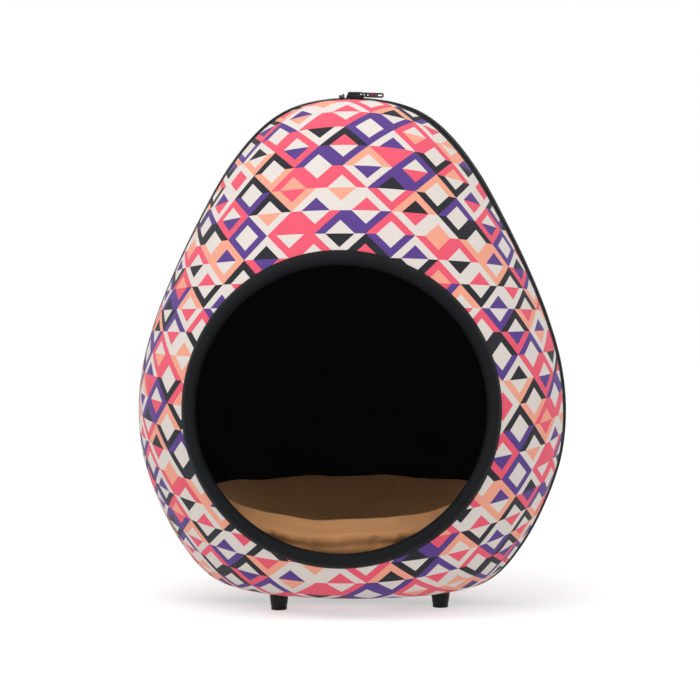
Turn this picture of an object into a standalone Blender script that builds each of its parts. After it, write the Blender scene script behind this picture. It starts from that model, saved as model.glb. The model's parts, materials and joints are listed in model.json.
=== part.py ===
"""Dome pet house: an egg-shaped cabin moulded from foam-backed cloth.

Two half shells, each with a lining, meet at a zip that runs over the crown. A round mouth with
a padded binding faces -Y, a dished cushion lies inside, and four tapered feet carry the cabin.
Lengths are in metres and +Z is up. The cabin is built round its own upright axis.
"""
import math
from collections import namedtuple

import bpy
from mathutils import Matrix, Vector

# Driving sizes of the cabin
Section = namedtuple("Section", "height half_width")
OUTLINE = [
    Section(0.5280, 0.0000),
    Section(0.5253, 0.0400),
    Section(0.5140, 0.0745),
    Section(0.4900, 0.1045),
    Section(0.4500, 0.1348),
    Section(0.4000, 0.1620),
    Section(0.3500, 0.1860),
    Section(0.3000, 0.2060),
    Section(0.2500, 0.2200),
    Section(0.2000, 0.2248),
    Section(0.1500, 0.2192),
    Section(0.1000, 0.2012),
    Section(0.0600, 0.1790),
    Section(0.0300, 0.1530),
    Section(0.0160, 0.1215),
    Section(0.0123, 0.0650),
    Section(0.0116, 0.0000),
]
DEPTH_RATIO = 0.97          # depth of every level section over its width
AXIS_Y = -0.0178            # the cabin's axis, so that the whole part is centred front to back
OUTLINE_ROWS = 24           # rows of faces from crown to base
TURN_STEPS = 40             # faces round the axis
BEND_WEIGHT = 0.06          # metres of length that one radian of bend counts as, for the rows

GAP = 0.0003                # between pieces that touch
SHELL = 0.0045              # foam laminate
LINING = 0.0010             # lining cloth
WALL = SHELL + GAP + LINING

# The zip and its plane, which leans forward towards the crown
SEAM_Y = -0.029             # where the plane crosses the height below, ahead of the axis
SEAM_HEIGHT = 0.240
SEAM_LEAN = math.radians(1.0)
ZIP_HALF = 0.0125           # half the width of the whole zip band
CHAIN_HALF = 0.0030         # half the width of the coil
CHAIN_RISE = 0.0009         # how far the coil stands proud of the shells
CHAIN_DEPTH = 0.0030
TAPE_SINK = 0.0006          # how far the tapes lie below the shells' face
TAPE = 0.0016
REACH = 0.40                # how far a cutter runs past the cabin's middle

# The round mouth
MOUTH_HEIGHT = 0.2062
MOUTH_HALF = (0.1488, 0.1460)   # half width and half height, to the middle of the binding
BINDING = 0.0066            # radius of the padded binding
BINDING_STEPS = 60
MOUTH_SIDES = 60
MOUTH_CUT_END = 0.060       # the mouth's cutter stops this far ahead of the axis

# Slider, pull and stop on the crown
SLIDER_X = 0.0060
SLIDER_SIZE = (0.0170, 0.0110, 0.0046)
SLIDER_BEVEL = 0.0011
PULL_SIZE = (0.0200, 0.0080, 0.0018)
PULL_BEVEL = 0.0005
PULL_DROOP = math.radians(4)    # the pull points along the zip, almost level
STOP_X = -0.0086
STOP_SIZE = (0.0058, 0.0080, 0.0034)
STOP_BEVEL = 0.0006
SEAT_STEP = 0.0035              # half the span over which the crown's slope is measured

# Feet, on a rectangle that is turned a little against the mouth
FOOT_SPACING = (0.0830, 0.0700)
FOOT_TURN = math.radians(10.6)
FOOT_BASE = 0.0080
FOOT_TOP = 0.0122
FOOT_HEIGHT = 0.0340
FOOT_BEVEL = 0.0010
FOOT_SIDES = 24

# Cushion: its upper side from the middle of the dish over the rim, then down beside the wall
DISH = [
    Section(0.0700, 0.0000),
    Section(0.0715, 0.0500),
    Section(0.0790, 0.0900),
    Section(0.0960, 0.1220),
    Section(0.1150, 0.1480),
    Section(0.1235, 0.1660),
    Section(0.1180, 0.1810),
    Section(0.1030, 0.1870),
    Section(0.0800, 0.1790),
]
DISH_ROWS = 11
CUSHION_SIDE = 0.0125       # from the shell's outer face to the cushion's side
CUSHION_SEAT = WALL + 0.0004
SEAT_RADIUS = 0.110         # inside this radius the cushion lies on the lining
SIDE_STEP = 0.010           # the side starts this far below the rim's last section
FRONT_DIP = 0.034           # how much lower the rim is at the mouth
DIP_BASE = 0.060            # the height below which the dip moves nothing


def mirrored_ends(points):
    """Add a mirror point past each end that lies on the axis, so that the curve is level there."""
    first, second = points[0], points[1]
    last, before = points[-1], points[-2]
    head = Vector((-second.x, second.y)) if first.x == 0 else 2 * first - second
    tail = Vector((-before.x, before.y)) if last.x == 0 else 2 * last - before
    return [head] + points + [tail]


def smooth_line(sections, rows):
    """Points (radius, height) on a smooth curve through the sections, closer where it bends."""
    knots = mirrored_ends([Vector((s.half_width, s.height)) for s in sections])
    fine = []
    for a, b, c, d in zip(knots, knots[1:], knots[2:], knots[3:]):
        for step in range(16):
            t = step / 16
            fine.append(0.5 * (2 * b + (c - a) * t + (2 * a - 5 * b + 4 * c - d) * t * t
                               + (3 * b - a - 3 * c + d) * t ** 3))
    fine.append(knots[-2])
    weights = [0.0]
    for i in range(1, len(fine)):
        step = fine[i] - fine[i - 1]
        ahead = fine[min(i + 1, len(fine) - 1)] - fine[i]
        bend = step.angle(ahead) if ahead.length > 0 else 0.0
        weights.append(weights[-1] + step.length + BEND_WEIGHT * bend)
    line = []
    for row in range(rows + 1):
        wanted = weights[-1] * row / rows
        i = next(k for k in range(1, len(fine)) if weights[k] >= wanted - 1e-9)
        share = (wanted - weights[i - 1]) / (weights[i] - weights[i - 1])
        line.append(fine[i - 1].lerp(fine[i], share))
    return line


def inset(line, depth):
    """Move a line (radius, height), which runs from crown to base, inwards by depth."""
    moved = []
    for i, point in enumerate(line):
        if i in (0, len(line) - 1):
            side = Vector((0, -1)) if i == 0 else Vector((0, 1))
            moved.append(point + side * depth)
            continue
        before = (point - line[i - 1]).normalized()
        after = (line[i + 1] - point).normalized()
        side = (Vector((before.y, -before.x)) + Vector((after.y, -after.x))).normalized()
        moved.append(point + side * depth / side.dot(Vector((before.y, -before.x))))
    return moved


EGG = smooth_line(OUTLINE, OUTLINE_ROWS)


def radius_at(line, height):
    """Radius of a crown-to-base line at a height."""
    for upper, lower in zip(line, line[1:]):
        if lower.y <= height <= upper.y:
            return lower.x + (upper.x - lower.x) * (height - lower.y) / (upper.y - lower.y)
    raise ValueError("height outside the line")


def crown_height(line, radius):
    """Height of a crown-to-base line at a radius, on its upper side."""
    for inner, outer in zip(line, line[1:]):
        if inner.x <= radius <= outer.x:
            return inner.y + (outer.y - inner.y) * (radius - inner.x) / (outer.x - inner.x)
    raise ValueError("radius outside the line")


def clear_scene():
    for thing in list(bpy.data.objects):
        bpy.data.objects.remove(thing, do_unlink=True)


def new_collection(name):
    group = bpy.data.collections.new(name)
    bpy.context.scene.collection.children.link(group)
    return group


def finish(name, colour, roughness, metallic=0.0):
    material = bpy.data.materials.new(name)
    material.use_nodes = True
    shader = material.node_tree.nodes["Principled BSDF"]
    shader.inputs["Base Color"].default_value = (*colour, 1)
    shader.inputs["Roughness"].default_value = roughness
    shader.inputs["Metallic"].default_value = metallic
    return material


def place(thing, group, material=None):
    """Put an object in its collection and under the cabin's frame."""
    for old in list(thing.users_collection):
        old.objects.unlink(thing)
    group.objects.link(thing)
    thing.parent = FRAME
    if material is None:
        thing.hide_render = True
        thing.display_type = "WIRE"
    else:
        thing.data.materials.append(material)
    return thing


def turned(name, lines, group, material=None):
    """Revolve open lines (radius, height) round the axis, and flatten them front to back."""
    corners = []
    edges = []
    for line in lines:
        start = len(corners)
        corners += [(p.x, 0, p.y) for p in line]
        edges += [(start + i, start + i + 1) for i in range(len(line) - 1)]
    mesh = bpy.data.meshes.new(name)
    mesh.from_pydata(corners, edges, [])
    thing = bpy.data.objects.new(name, mesh)
    place(thing, group, material)
    thing.scale.y = DEPTH_RATIO
    screw = thing.modifiers.new("Turn", "SCREW")
    screw.steps = TURN_STEPS
    screw.render_steps = TURN_STEPS
    screw.use_merge_vertices = True
    screw.merge_threshold = 0.0001
    screw.use_smooth_shade = True
    return thing


def hollow_egg(name, outer, thickness, group, material):
    """An egg-shaped wall whose outer face lies outer metres inside the cabin's outline."""
    outside = inset(EGG, outer)
    inside = inset(EGG, outer + thickness)
    return turned(name, [outside, inside[::-1]], group, material)


def cut(thing, cutter, operation="DIFFERENCE"):
    boolean = thing.modifiers.new(cutter.name, "BOOLEAN")
    boolean.operation = operation
    boolean.object = cutter
    boolean.solver = "EXACT"
    return thing


def block(name, size, group, material=None):
    """A box of the given size about the cabin's origin, with its scale applied."""
    bpy.ops.mesh.primitive_cube_add(size=1)
    thing = bpy.context.object
    thing.name = name
    thing.data.name = name
    thing.data.transform(Matrix.Diagonal((*size, 1)))
    return place(thing, group, material)


def slab(name, near, far):
    """A cutter parallel to the zip's plane, from near to far behind that plane."""
    size = (2 * REACH, far - near, 3 * REACH)
    cutter = block(name, size, CUTTERS)
    turn = Matrix.Rotation(SEAM_LEAN, 4, "X")
    middle = Matrix.Translation((0, (near + far) / 2, 0))
    cutter.matrix_local = Matrix.Translation((0, SEAM_Y, SEAM_HEIGHT)) @ turn @ middle
    return cutter


def mouth_cutter():
    """A cylinder along Y that clears the binding."""
    bpy.ops.mesh.primitive_cylinder_add(vertices=MOUTH_SIDES, radius=1, depth=REACH)
    cutter = bpy.context.object
    cutter.name = "mouth_cutter"
    cutter.data.transform(Matrix.Rotation(math.radians(90), 4, "X"))
    half_width, half_height = (half + BINDING + GAP for half in MOUTH_HALF)
    cutter.data.transform(Matrix.Diagonal((half_width, 1, half_height, 1)))
    place(cutter, CUTTERS)
    cutter.location = (0, -REACH / 2 - MOUTH_CUT_END, MOUTH_HEIGHT)
    return cutter


def shells_and_linings():
    front_side = slab("keep_front", -ZIP_HALF, REACH)
    back_side = slab("keep_back", -REACH, ZIP_HALF)
    mouth = mouth_cutter()
    layers = [
        ("shell", 0.0, SHELL, PRINT),
        ("lining", SHELL + GAP, LINING, LINING_CLOTH),
    ]
    for layer, outer, thickness, material in layers:
        front = hollow_egg("front_" + layer, outer, thickness, HOUSE, material)
        cut(cut(front, front_side), mouth)
        back = hollow_egg("back_" + layer, outer, thickness, HOUSE, material)
        cut(back, back_side)


def zip_band():
    """Two tapes and the coil between them, each a slice of an egg-shaped wall."""
    strips = [
        ("zip_tape_front", -ZIP_HALF + GAP, -CHAIN_HALF - GAP, TAPE_SINK, TAPE),
        ("zip_chain", -CHAIN_HALF, CHAIN_HALF, -CHAIN_RISE, CHAIN_DEPTH),
        ("zip_tape_back", CHAIN_HALF + GAP, ZIP_HALF - GAP, TAPE_SINK, TAPE),
    ]
    for name, near, far, outer, thickness in strips:
        strip = hollow_egg(name, outer, thickness, HOUSE, ZIP_CLOTH)
        cut(strip, slab(name + "_slice", near, far), "INTERSECT")


def mouth_binding():
    """The padded binding: a closed tube in the mouth, on the middle of the wall."""
    middle = inset(EGG, WALL / 2)
    curve = bpy.data.curves.new("mouth_binding", "CURVE")
    curve.dimensions = "3D"
    curve.bevel_depth = BINDING
    curve.bevel_resolution = 2
    spline = curve.splines.new("POLY")
    spline.points.add(BINDING_STEPS - 1)
    spline.use_cyclic_u = True
    spline.use_smooth = True
    for i in range(BINDING_STEPS):
        turn = 2 * math.pi * i / BINDING_STEPS
        x = MOUTH_HALF[0] * math.cos(turn)
        z = MOUTH_HEIGHT + MOUTH_HALF[1] * math.sin(turn)
        y = -DEPTH_RATIO * math.sqrt(radius_at(middle, z) ** 2 - x * x)
        spline.points[i].co = (x, y, z, 1)
    place(bpy.data.objects.new("mouth_binding", curve), HOUSE, BINDING_CLOTH)


def crown_seat(x):
    """Frame on the coil over the crown: Z is the face's normal and X runs along the zip."""
    face = inset(EGG, -CHAIN_RISE)

    def on_coil(along, aside):
        z = OUTLINE[0].height
        for _ in range(12):
            y = SEAM_Y - (z - SEAM_HEIGHT) * math.tan(SEAM_LEAN) + aside
            z = crown_height(face, math.hypot(along, y / DEPTH_RATIO))
        return Vector((along, y, z))

    here = on_coil(x, 0)
    along = (on_coil(x + SEAT_STEP, 0) - on_coil(x - SEAT_STEP, 0)).normalized()
    aside = on_coil(x, SEAT_STEP) - on_coil(x, -SEAT_STEP)
    up = along.cross(aside).normalized()
    turn = Matrix((along, up.cross(along), up)).transposed().to_4x4()
    return Matrix.Translation(here) @ turn


def bevelled(thing, width):
    bevel = thing.modifiers.new("Bevel", "BEVEL")
    bevel.width = width
    bevel.segments = 2
    return thing


def zip_hardware():
    seat = crown_seat(SLIDER_X)
    lift = GAP + SLIDER_SIZE[2] / 2
    slider = bevelled(block("zip_slider", SLIDER_SIZE, HOUSE, ZIP_METAL), SLIDER_BEVEL)
    slider.matrix_local = seat @ Matrix.Translation((0, 0, lift))

    pull = bevelled(block("zip_pull", PULL_SIZE, HOUSE, ZIP_METAL), PULL_BEVEL)
    hook = Matrix.Translation((SLIDER_SIZE[0] / 2 + 2 * GAP, 0, lift))
    droop = Matrix.Rotation(PULL_DROOP, 4, "Y")
    pull.matrix_local = seat @ hook @ droop @ Matrix.Translation((PULL_SIZE[0] / 2, 0, 0))

    stop = bevelled(block("zip_stop", STOP_SIZE, HOUSE, ZIP_METAL), STOP_BEVEL)
    stop.matrix_local = crown_seat(STOP_X) @ Matrix.Translation((0, 0, GAP + STOP_SIZE[2] / 2))


def feet():
    belly = turned("belly_cutter", [inset(EGG, -GAP)], CUTTERS)
    places = {"foot_front_left": (-1, -1), "foot_front_right": (1, -1),
              "foot_back_right": (1, 1), "foot_back_left": (-1, 1)}
    for name, (side, way) in places.items():
        bpy.ops.mesh.primitive_cone_add(
            vertices=FOOT_SIDES, radius1=FOOT_BASE, radius2=FOOT_TOP, depth=FOOT_HEIGHT)
        foot = bpy.context.object
        foot.name = name
        foot.data.name = name
        foot.data.shade_smooth()
        foot.data.set_sharp_from_angle(angle=math.radians(35))
        place(foot, HOUSE, FOOT_PLASTIC)
        corner = Vector((side * FOOT_SPACING[0], way * FOOT_SPACING[1], FOOT_HEIGHT / 2))
        foot.location = Matrix.Rotation(FOOT_TURN, 3, "Z") @ corner
        cut(bevelled(foot, FOOT_BEVEL), belly)


def cushion():
    """A filled pad: dished top, puffed rim that dips at the mouth, and a base in the shell."""
    upper = smooth_line(DISH, DISH_ROWS)
    wall = inset(EGG, CUSHION_SIDE)
    side = [p for p in wall if p.x > SEAT_RADIUS and p.y < upper[-1].y - SIDE_STEP]
    base = [p for p in inset(EGG, CUSHION_SEAT) if p.x < SEAT_RADIUS and p.y < MOUTH_HEIGHT]
    turned_pad = turned("cushion", [upper + side + base], HOUSE)
    turned_pad.scale.y = 1
    bpy.context.view_layer.update()
    shape = bpy.context.evaluated_depsgraph_get()
    mesh = bpy.data.meshes.new_from_object(turned_pad.evaluated_get(shape))
    bpy.data.objects.remove(turned_pad)
    crest = max(DISH, key=lambda section: section.height)
    for corner in mesh.vertices:
        reach = math.hypot(corner.co.x, corner.co.y)
        if corner.co.z < DIP_BASE or reach < 0.001:
            continue
        ahead = max(0.0, -corner.co.y) / reach
        height = (corner.co.z - DIP_BASE) / (crest.height - DIP_BASE)
        outer = min(1.0, reach / crest.half_width)
        corner.co.z -= FRONT_DIP * ahead ** 2 * height * outer ** 2
        room = radius_at(wall, corner.co.z)
        if reach > room:
            corner.co.x *= room / reach
            corner.co.y *= room / reach
    mesh.transform(Matrix.Diagonal((1, DEPTH_RATIO, 1, 1)))
    mesh.shade_smooth()
    pad = bpy.data.objects.new("cushion", mesh)
    place(pad, HOUSE, CUSHION_CLOTH)


clear_scene()
HOUSE = new_collection("dome_pet_house")
CUTTERS = new_collection("cutters")
FRAME = bpy.data.objects.new("cabin_axis", None)
FRAME.location.y = AXIS_Y
HOUSE.objects.link(FRAME)

PRINT = finish("printed_cloth", (0.84, 0.48, 0.47), 0.60)
LINING_CLOTH = finish("lining_cloth", (0.012, 0.012, 0.014), 0.85)
BINDING_CLOTH = finish("binding_cloth", (0.018, 0.020, 0.024), 0.55)
ZIP_CLOTH = finish("zip_cloth", (0.020, 0.020, 0.022), 0.60)
ZIP_METAL = finish("zip_metal", (0.030, 0.028, 0.030), 0.35, 0.8)
FOOT_PLASTIC = finish("foot_plastic", (0.020, 0.020, 0.022), 0.45)
CUSHION_CLOTH = finish("cushion_cloth", (0.34, 0.15, 0.055), 0.80)

shells_and_linings()
zip_band()
mouth_binding()
zip_hardware()
feet()
cushion()
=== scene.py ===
# %% [markdown]
# # A dome pet house, dressed for its picture
#
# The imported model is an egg-shaped cabin: two half shells of foam-backed cloth, each with a
# lining, a zip between them over the crown, a bound round mouth, a dished cushion and four feet.
# Each step below models one of these again in the same place, finer than its solid, and gives it
# a finish. Lengths are in metres, +Z is up and the mouth faces -Y.

import json
import math
from collections import Counter, namedtuple

import bpy
import numpy as np
from mathutils import Matrix, Vector, kdtree, noise

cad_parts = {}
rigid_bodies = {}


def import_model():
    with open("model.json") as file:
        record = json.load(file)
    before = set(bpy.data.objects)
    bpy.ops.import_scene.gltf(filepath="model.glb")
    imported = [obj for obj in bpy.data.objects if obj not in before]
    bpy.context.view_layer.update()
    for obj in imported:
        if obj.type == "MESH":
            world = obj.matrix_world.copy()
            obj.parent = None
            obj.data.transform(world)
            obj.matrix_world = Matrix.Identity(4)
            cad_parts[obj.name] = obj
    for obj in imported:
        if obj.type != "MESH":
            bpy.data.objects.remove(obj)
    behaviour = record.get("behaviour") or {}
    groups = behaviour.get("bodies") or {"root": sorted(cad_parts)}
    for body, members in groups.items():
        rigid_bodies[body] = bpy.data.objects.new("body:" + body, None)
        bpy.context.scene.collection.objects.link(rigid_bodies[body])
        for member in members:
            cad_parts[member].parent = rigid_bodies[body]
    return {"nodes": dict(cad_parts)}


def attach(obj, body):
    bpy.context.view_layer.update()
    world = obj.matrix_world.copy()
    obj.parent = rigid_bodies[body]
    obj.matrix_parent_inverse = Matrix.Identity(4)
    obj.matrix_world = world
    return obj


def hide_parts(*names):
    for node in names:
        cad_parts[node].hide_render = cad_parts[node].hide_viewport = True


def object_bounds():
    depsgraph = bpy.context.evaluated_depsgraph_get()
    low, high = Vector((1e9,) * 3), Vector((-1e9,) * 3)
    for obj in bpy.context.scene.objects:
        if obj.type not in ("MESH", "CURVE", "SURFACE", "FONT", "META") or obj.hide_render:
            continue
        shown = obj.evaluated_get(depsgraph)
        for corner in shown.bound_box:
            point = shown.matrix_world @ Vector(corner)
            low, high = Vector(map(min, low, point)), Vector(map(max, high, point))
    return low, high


for thing in list(bpy.data.objects):
    bpy.data.objects.remove(thing, do_unlink=True)
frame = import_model()
CAD_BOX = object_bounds()
print("box of the solids, in mm:", *(tuple(round(1000 * x, 1) for x in c) for c in CAD_BOX))

# %% [markdown]
# ## The camera and the light
#
# A product like this is photographed from far enough away to keep its shape true. The camera
# stands 2 m from the cabin's axis, level, at half the cabin's height, and a few degrees to its
# right. It comes first, so that every later step can be looked at through it. The light is a
# white room and one large soft lamp above the front, because the cloth shows no hard shadows.

# %% Camera
AXIS_Y = -0.0178  # the cabin's upright axis crosses the ground here
CAMERA_TURN = math.radians(4.2)
CAMERA_DISTANCE = 2.0
CAMERA_HEIGHT = 0.264
FOCAL_LENGTH = 97.15  # on a sensor 36 mm wide
PICTURE = 700  # pixels each way
AXIS_RIGHT_OF_MIDDLE = 2.5  # pixels

bpy.ops.object.camera_add(
    location=(CAMERA_DISTANCE * math.sin(CAMERA_TURN),
              AXIS_Y - CAMERA_DISTANCE * math.cos(CAMERA_TURN), CAMERA_HEIGHT),
    rotation=(math.radians(90), 0, CAMERA_TURN))
camera = bpy.context.object
camera.data.lens = FOCAL_LENGTH
camera.data.sensor_width = 36
camera.data.shift_x = -AXIS_RIGHT_OF_MIDDLE / PICTURE
bpy.context.scene.camera = camera
print("camera at", tuple(round(x, 3) for x in camera.location))

# %% Light
scene = bpy.context.scene
scene.view_settings.view_transform = "Standard"
scene.world = bpy.data.worlds.new("white_room")
scene.world.use_nodes = True
room = scene.world.node_tree.nodes["Background"]
room.inputs["Color"].default_value = (1, 1, 1, 1)
room.inputs["Strength"].default_value = 1.0


def soft_lamp(name, place, aim, size, power):
    """A square area lamp that looks at a point."""
    bpy.ops.object.light_add(type="AREA", location=place)
    lamp = bpy.context.object
    lamp.name = name
    lamp.data.shape = "SQUARE"
    lamp.data.size = size
    lamp.data.energy = power
    lamp.rotation_euler = (Vector(aim) - Vector(place)).to_track_quat("-Z", "Y").to_euler()
    return lamp


soft_lamp("top_lamp", place=(-0.25, -0.9, 1.7), aim=(0, 0, 0.3), size=1.1, power=15.0)

# %% [markdown]
# ## Tools for modelling
#
# Operators act on whatever is selected, so each helper first selects one piece and nothing
# else. The egg is turned from one line, as a potter would do it: a corner is extruded along the
# outline, and the chain of edges is spun round the axis.

# %% Selecting, moving and finishing a piece
def deselect_all():
    if bpy.context.mode != "OBJECT":
        bpy.ops.object.mode_set(mode="OBJECT")
    bpy.ops.object.select_all(action="DESELECT")


def only(piece):
    """Select one piece and make it the active one."""
    deselect_all()
    piece.select_set(True)
    bpy.context.view_layer.objects.active = piece
    return piece


def settle(piece):
    """Put a piece's place, turn and scale into its mesh."""
    only(piece)
    bpy.ops.object.transform_apply(location=True, rotation=True, scale=True)
    return piece


def modify(piece, kind, **settings):
    """Add one modifier and apply it."""
    only(piece)
    bpy.ops.object.modifier_add(type=kind)
    modifier = piece.modifiers[-1]
    for setting, value in settings.items():
        setattr(modifier, setting, value)
    bpy.ops.object.modifier_apply(modifier=modifier.name)
    return piece


def smooth(piece, degrees=40):
    """Shade a piece smooth, and keep edges sharper than an angle."""
    only(piece)
    bpy.ops.object.shade_smooth_by_angle(angle=math.radians(degrees))
    return piece


def remove(piece):
    bpy.data.objects.remove(piece, do_unlink=True)


def points_of(piece):
    """The places of a mesh's corners, as rows of an array."""
    flat = np.empty(3 * len(piece.data.vertices))
    piece.data.vertices.foreach_get("co", flat)
    return flat.reshape(-1, 3)


def move_points(piece, points):
    piece.data.vertices.foreach_set("co", np.ascontiguousarray(points, float).ravel())
    piece.data.update()


def select_where(piece, kind, test):
    """Open a piece for editing with only the faces or edges that pass a test selected."""
    only(piece)
    bpy.ops.object.mode_set(mode="EDIT")
    bpy.ops.mesh.select_mode(type=kind)
    bpy.ops.mesh.select_all(action="DESELECT")
    bpy.ops.object.mode_set(mode="OBJECT")
    for element in piece.data.polygons if kind == "FACE" else piece.data.edges:
        element.select = test(element)
    bpy.ops.object.mode_set(mode="EDIT")


def triangles_of(piece):
    piece.data.calc_loop_triangles()
    return len(piece.data.loop_triangles)


# %% New pieces from a mesh
def in_scene(name, mesh):
    piece = bpy.data.objects.new(name, mesh)
    bpy.context.scene.collection.objects.link(piece)
    return piece


def meshed(name, corners, faces):
    """A new piece from an array of corners and a list of faces."""
    mesh = bpy.data.meshes.new(name)
    mesh.from_pydata(corners.tolist(), [], faces)
    return in_scene(name, mesh)


# %% A chain of edges, and what is turned from it
def edge_chain(name, points):
    """One corner, extruded from point to point."""
    deselect_all()
    bpy.ops.mesh.primitive_plane_add(size=0.01)
    chain = bpy.context.object
    chain.name = name
    chain.data.name = name
    bpy.ops.object.mode_set(mode="EDIT")
    bpy.ops.mesh.select_mode(type="VERT")
    bpy.ops.mesh.select_all(action="SELECT")
    bpy.ops.mesh.merge(type="CENTER")
    bpy.ops.transform.translate(value=points[0])
    for here, there in zip(points, points[1:]):
        bpy.ops.mesh.extrude_region_move(TRANSFORM_OT_translate={"value": there - here})
    bpy.ops.object.mode_set(mode="OBJECT")
    return chain


def turned(name, line, steps):
    """Spin a line (radius, height) round the upright axis through the origin."""
    piece = edge_chain(name, [Vector((p.x, 0, p.y)) for p in line])
    bpy.ops.object.mode_set(mode="EDIT")
    bpy.ops.mesh.select_all(action="SELECT")
    bpy.ops.mesh.spin(steps=steps, angle=2 * math.pi, center=(0, 0, 0), axis=(0, 0, 1))
    bpy.ops.mesh.select_all(action="SELECT")
    bpy.ops.mesh.remove_doubles(threshold=1e-6)
    bpy.ops.mesh.normals_make_consistent(inside=False)
    bpy.ops.object.mode_set(mode="OBJECT")
    return piece


# %% [markdown]
# ## The outline of the cabin
#
# The moulded shell has one smooth outline from crown to base. It is given by its half width at
# seventeen heights, the same values as in the solids, and a smooth curve runs through them.
# Every layer of the wall is this line moved inwards by its depth.

# %% Outline
Section = namedtuple("Section", "height half_width")
OUTLINE = [
    Section(0.5280, 0.0000), Section(0.5253, 0.0400), Section(0.5140, 0.0745),
    Section(0.4900, 0.1045), Section(0.4500, 0.1348), Section(0.4000, 0.1620),
    Section(0.3500, 0.1860), Section(0.3000, 0.2060), Section(0.2500, 0.2200),
    Section(0.2000, 0.2248), Section(0.1500, 0.2192), Section(0.1000, 0.2012),
    Section(0.0600, 0.1790), Section(0.0300, 0.1530), Section(0.0160, 0.1215),
    Section(0.0123, 0.0650), Section(0.0116, 0.0000),
]
DEPTH_RATIO = 0.97  # depth of every level section over its width
EGG_ROWS = 150  # rows of faces from crown to base
EGG_TURNS = 240  # faces round the axis
KNOT_STEPS = 16  # points of the curve from one section to the next


def lengths_to(points):
    """The distance along an open line to each of its points."""
    return np.concatenate([[0], np.linalg.norm(np.diff(points, axis=0), axis=1).cumsum()])


def smooth_line(sections, rows):
    """Evenly spaced points (radius, height) on a smooth curve through the sections."""
    knots = [Vector((s.half_width, s.height)) for s in sections]
    head = Vector((-knots[1].x, knots[1].y))
    tail = Vector((-knots[-2].x, knots[-2].y))
    knots = [head] + knots + [tail]
    fine = []
    for a, b, c, d in zip(knots, knots[1:], knots[2:], knots[3:]):
        for step in range(KNOT_STEPS):
            t = step / KNOT_STEPS
            fine.append(0.5 * (2 * b + (c - a) * t + (2 * a - 5 * b + 4 * c - d) * t * t
                               + (3 * b - a - 3 * c + d) * t ** 3))
    fine.append(knots[-2])
    fine = np.array(fine)
    far = lengths_to(fine)
    wanted = np.linspace(0, far[-1], rows + 1)
    return [Vector(p) for p in zip(np.interp(wanted, far, fine[:, 0]),
                                   np.interp(wanted, far, fine[:, 1]))]


def inset(line, depth):
    """Move a line (radius, height), which runs from crown to base, inwards by depth."""
    moved = []
    for i, point in enumerate(line):
        if i in (0, len(line) - 1):
            side = Vector((0, -1)) if i == 0 else Vector((0, 1))
            moved.append(point + side * depth)
            continue
        before = (point - line[i - 1]).normalized()
        after = (line[i + 1] - point).normalized()
        side = (Vector((before.y, -before.x)) + Vector((after.y, -after.x))).normalized()
        moved.append(point + side * depth / side.dot(Vector((before.y, -before.x))))
    return moved


def radius_at(line, height):
    """Radius of a crown-to-base line at each height of an array."""
    rising = line[::-1]
    return np.interp(height, [p.y for p in rising], [p.x for p in rising])


EGG = smooth_line(OUTLINE, EGG_ROWS)


def egg(name, depth, coarser=1):
    """A closed skin, depth metres inside the outline."""
    line = inset(EGG, depth)
    line = line[:-1:coarser] + [line[-1]]
    skin = turned(name, line, EGG_TURNS // coarser)
    skin.scale.y = DEPTH_RATIO
    skin.location.y = AXIS_Y
    return settle(skin)


print("outline:", len(EGG), "points from crown to base")

# %% [markdown]
# ## Finishes as arithmetic
#
# A cloth's colour and relief are worked out from where a point lies on it. Written as nodes
# that soon becomes hard to read, so a small class wraps a node's socket and turns sums in
# Python into Math nodes. One method makes every other kind of node.

# %% Signals and finishes
class Signal:
    """A number, vector or colour that varies over a surface."""

    def __init__(self, finish, socket):
        self.finish = finish
        self.socket = socket

    def math(self, operation, *values):
        inputs = dict(enumerate((self, *values)))
        return self.finish.node("ShaderNodeMath", {"operation": operation}, inputs)

    def __add__(self, other):
        return self.math("ADD", other)

    def __sub__(self, other):
        return self.math("SUBTRACT", other)

    def __mul__(self, other):
        return self.math("MULTIPLY", other)

    def __truediv__(self, other):
        return self.math("DIVIDE", other)

    def __rsub__(self, other):
        return self * -1 + other

    def __gt__(self, other):
        return self.math("GREATER_THAN", other)

    def __mod__(self, other):
        return self.math("FLOORED_MODULO", other)

    __radd__ = __add__
    __rmul__ = __mul__

    def floor(self):
        return self.math("FLOOR")

    def fraction(self):
        return self.math("FRACT")

    def size(self):
        return self.math("ABSOLUTE")

    def wave(self, pitch):
        """A wave from -1 to 1 that repeats every pitch."""
        return (self * (2 * math.pi / pitch)).math("SINE")


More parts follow.
